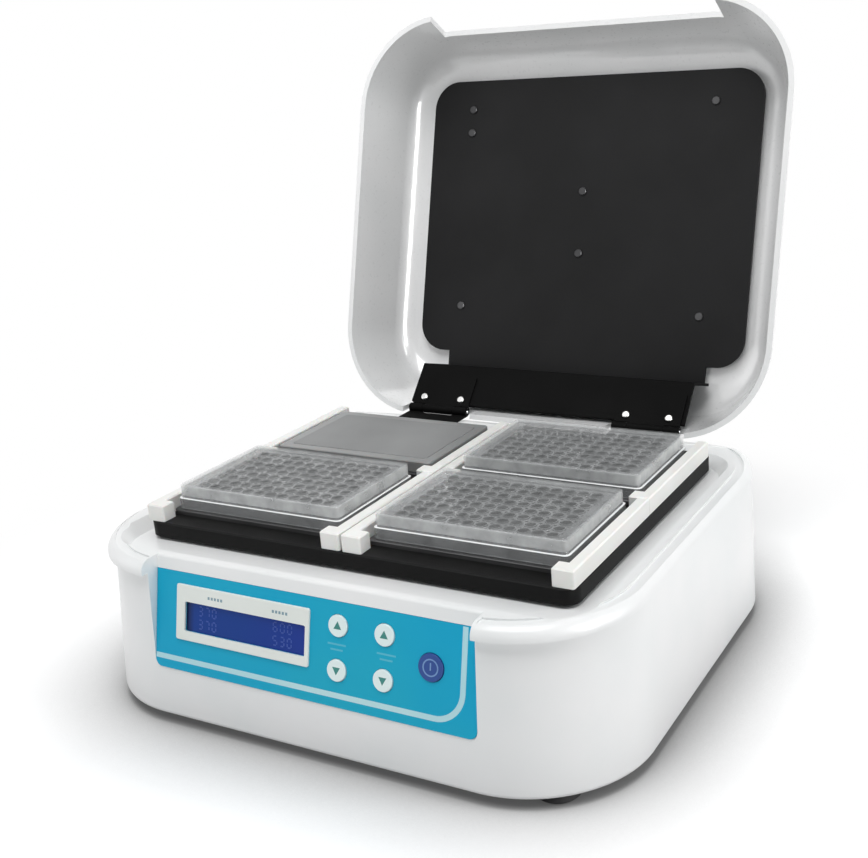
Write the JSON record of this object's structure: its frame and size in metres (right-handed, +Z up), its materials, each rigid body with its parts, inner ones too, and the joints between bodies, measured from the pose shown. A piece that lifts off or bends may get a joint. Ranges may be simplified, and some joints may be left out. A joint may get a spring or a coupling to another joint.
{
  "type": "thermal mixer",
  "caption": "Heated orbital shaker for microplates: low rounded housing with a tilted blue control panel, shaking platform with plate rails, and a deep lid hinged open at the rear.",
  "frame": {"origin": "on the bench, below the middle of the open instrument; the drive shaft stands 62.5 mm in front of it", "axes": "+Z up, +Y to the rear where the lid is hinged, +X to the right as seen from the front; lid stored open on its stop"},
  "size_m": [0.3698, 0.4566, 0.4084],
  "materials": {
    "housing_white": "satin off-white moulded plastic",
    "zinc_steel": "plain zinc-plated steel",
    "black_rubber": "matt black rubber",
    "panel_blue": "cyan-blue film on a plastic plate",
    "bezel_white": "off-white moulded plastic",
    "display_blue": "dark blue backlit window",
    "board_green": "green glass-fibre board with parts",
    "key_white": "pale key with a printed triangle",
    "key_blue": "dark blue round key",
    "cast_aluminium": "as-cast and machined aluminium",
    "bearing_steel": "ground steel",
    "motor_black": "black painted motor can",
    "platform_black": "black anodised aluminium",
    "block_grey": "dark grey anodised aluminium",
    "rail_white": "white moulded plastic",
    "plate_clear": "clear polystyrene",
    "foam_grey": "grey insulation foam",
    "plate_black": "matt black powder coat",
    "screw_steel": "bright steel",
    "black_plastic": "black moulded plastic"
  },
  "bodies": {
    "base": {"lower_housing": "housing_white", "upper_housing": "housing_white", "base_plate": "zinc_steel", "rubber_feet": "black_rubber", "control_panel": "panel_blue", "display_bezel": "bezel_white", "display_window": "display_blue", "display_module": "board_green", "control_board": "board_green", "drive_frame": "cast_aluminium", "frame_bearings": "bearing_steel", "drive_motor": "motor_black", "drive_belt": "black_rubber", "power_supply": "board_green", "power_inlet": "black_plastic", "switch_frame": "black_plastic", "fan_frame": "black_plastic", "hinge_fixed_leaves": "plate_black", "hinge_pins": "bearing_steel"},
    "shaft": {"eccentric_shaft": "bearing_steel", "drive_pulley": "cast_aluminium", "counterweight": "zinc_steel"},
    "platform": {"shaking_platform": "platform_black", "platform_bearings": "bearing_steel", "heating_blocks": "block_grey", "rail_front_left_plate_left": "rail_white", "rail_front_left_plate_right": "rail_white", "rail_front_right_plate_left": "rail_white", "rail_front_right_plate_right": "rail_white", "rail_rear_left_plate_left": "rail_white", "rail_rear_left_plate_right": "rail_white", "rail_rear_right_plate_left": "rail_white", "rail_rear_right_plate_right": "rail_white"},
    "rotor": {"motor_rotor": "bearing_steel"},
    "lid": {"lid_shell": "housing_white", "lid_insulation": "foam_grey", "lid_inner_plate": "plate_black", "lid_plate_screws": "screw_steel", "hinge_screws": "screw_steel", "hinge_bracket": "plate_black", "hinge_moving_leaves": "plate_black"},
    "rocker": {"switch_rocker": "black_plastic"},
    "fan": {"fan_rotor": "black_plastic"},
    "idler_1": {"idler_crank_1": "bearing_steel"},
    "plate_1": {"microplate_1": "plate_clear"},
    "cover_1": {"plate_cover_1": "plate_clear"},
    "idler_2": {"idler_crank_2": "bearing_steel"},
    "plate_2": {"microplate_2": "plate_clear"},
    "cover_2": {"plate_cover_2": "plate_clear"},
    "idler_3": {"idler_crank_3": "bearing_steel"},
    "plate_3": {"microplate_3": "plate_clear"},
    "cover_3": {"plate_cover_3": "plate_clear"},
    "idler_4": {"idler_crank_4": "bearing_steel"},
    "plate_4": {"microplate_4": "plate_clear"},
    "cover_4": {"plate_cover_4": "plate_clear"},
    "key_left_up_cap": {"key_left_up": "key_white"},
    "key_left_down_cap": {"key_left_down": "key_white"},
    "key_right_up_cap": {"key_right_up": "key_white"},
    "key_right_down_cap": {"key_right_down": "key_white"},
    "key_start_stop_cap": {"key_start_stop": "key_blue"}
  },
  "joints": [
    {"name": "shaft_spin", "type": "hinge", "parent": "base", "child": "shaft", "pos_m": [0, -0.0625, 0.07], "axis": [0, 0, 1], "continuous": true},
    {"name": "platform_orbit", "type": "hinge", "parent": "shaft", "child": "platform", "pos_m": [0.0015, -0.0625, 0.105], "axis": [0, 0, 1], "continuous": true},
    {"name": "motor_spin", "type": "hinge", "parent": "base", "child": "rotor", "pos_m": [0.092, -0.0625, 0.06], "axis": [0, 0, 1], "continuous": true},
    {"name": "idler_1_spin", "type": "hinge", "parent": "base", "child": "idler_1", "pos_m": [-0.118, -0.1445, 0.08], "axis": [0, 0, 1], "continuous": true},
    {"name": "idler_2_spin", "type": "hinge", "parent": "base", "child": "idler_2", "pos_m": [-0.118, 0.0195, 0.08], "axis": [0, 0, 1], "continuous": true},
    {"name": "idler_3_spin", "type": "hinge", "parent": "base", "child": "idler_3", "pos_m": [0.118, -0.1445, 0.08], "axis": [0, 0, 1], "continuous": true},
    {"name": "idler_4_spin", "type": "hinge", "parent": "base", "child": "idler_4", "pos_m": [0.118, 0.0195, 0.08], "axis": [0, 0, 1], "continuous": true},
    {"name": "lid_hinge", "type": "hinge", "parent": "base", "child": "lid", "pos_m": [0, 0.0899, 0.1102], "axis": [-1, 0, 0], "range_deg": [-106.3, 0]},
    {"name": "rocker_tip", "type": "hinge", "parent": "base", "child": "rocker", "pos_m": [-0.04, 0.1025, 0.046], "axis": [1, 0, 0], "range_deg": [0, 18]},
    {"name": "fan_spin", "type": "hinge", "parent": "base", "child": "fan", "pos_m": [0.07, 0.0935, 0.052], "axis": [0, 1, 0], "continuous": true},
    {"name": "key_left_up_press", "type": "slide", "parent": "base", "child": "key_left_up_cap", "axis": [0, 0.9715, -0.2368], "range_m": [0, 0.0012], "stiffness_N_per_m": 300, "springref_m": -0.001},
    {"name": "key_left_down_press", "type": "slide", "parent": "base", "child": "key_left_down_cap", "axis": [0, 0.9715, -0.2368], "range_m": [0, 0.0012], "stiffness_N_per_m": 300, "springref_m": -0.001},
    {"name": "key_right_up_press", "type": "slide", "parent": "base", "child": "key_right_up_cap", "axis": [0, 0.9715, -0.2368], "range_m": [0, 0.0012], "stiffness_N_per_m": 300, "springref_m": -0.001},
    {"name": "key_right_down_press", "type": "slide", "parent": "base", "child": "key_right_down_cap", "axis": [0, 0.9715, -0.2368], "range_m": [0, 0.0012], "stiffness_N_per_m": 300, "springref_m": -0.001},
    {"name": "key_start_stop_press", "type": "slide", "parent": "base", "child": "key_start_stop_cap", "axis": [0, 0.9715, -0.2368], "range_m": [0, 0.0012], "stiffness_N_per_m": 300, "springref_m": -0.001},
    {"name": "plate_1_lift", "type": "slide", "parent": "platform", "child": "plate_1", "axis": [0, 0, 1], "range_m": [0, 0.06]},
    {"name": "cover_1_lift", "type": "slide", "parent": "plate_1", "child": "cover_1", "axis": [0, 0, 1], "range_m": [0, 0.03]},
    {"name": "plate_2_lift", "type": "slide", "parent": "platform", "child": "plate_2", "axis": [0, 0, 1], "range_m": [0, 0.06]},
    {"name": "cover_2_lift", "type": "slide", "parent": "plate_2", "child": "cover_2", "axis": [0, 0, 1], "range_m": [0, 0.03]},
    {"name": "plate_3_lift", "type": "slide", "parent": "platform", "child": "plate_3", "axis": [0, 0, 1], "range_m": [0, 0.06]},
    {"name": "cover_3_lift", "type": "slide", "parent": "plate_3", "child": "cover_3", "axis": [0, 0, 1], "range_m": [0, 0.03]},
    {"name": "plate_4_lift", "type": "slide", "parent": "platform", "child": "plate_4", "axis": [0, 0, 1], "range_m": [0, 0.06]},
    {"name": "cover_4_lift", "type": "slide", "parent": "plate_4", "child": "cover_4", "axis": [0, 0, 1], "range_m": [0, 0.03]}
  ],
  "couplings": [
    {"joint": "platform_orbit", "follows": "shaft_spin", "ratio": -1},
    {"joint": "motor_spin", "follows": "shaft_spin", "ratio": 3.1111},
    {"joint": "idler_1_spin", "follows": "shaft_spin", "ratio": 1},
    {"joint": "idler_2_spin", "follows": "shaft_spin", "ratio": 1},
    {"joint": "idler_3_spin", "follows": "shaft_spin", "ratio": 1},
    {"joint": "idler_4_spin", "follows": "shaft_spin", "ratio": 1}
  ]
}
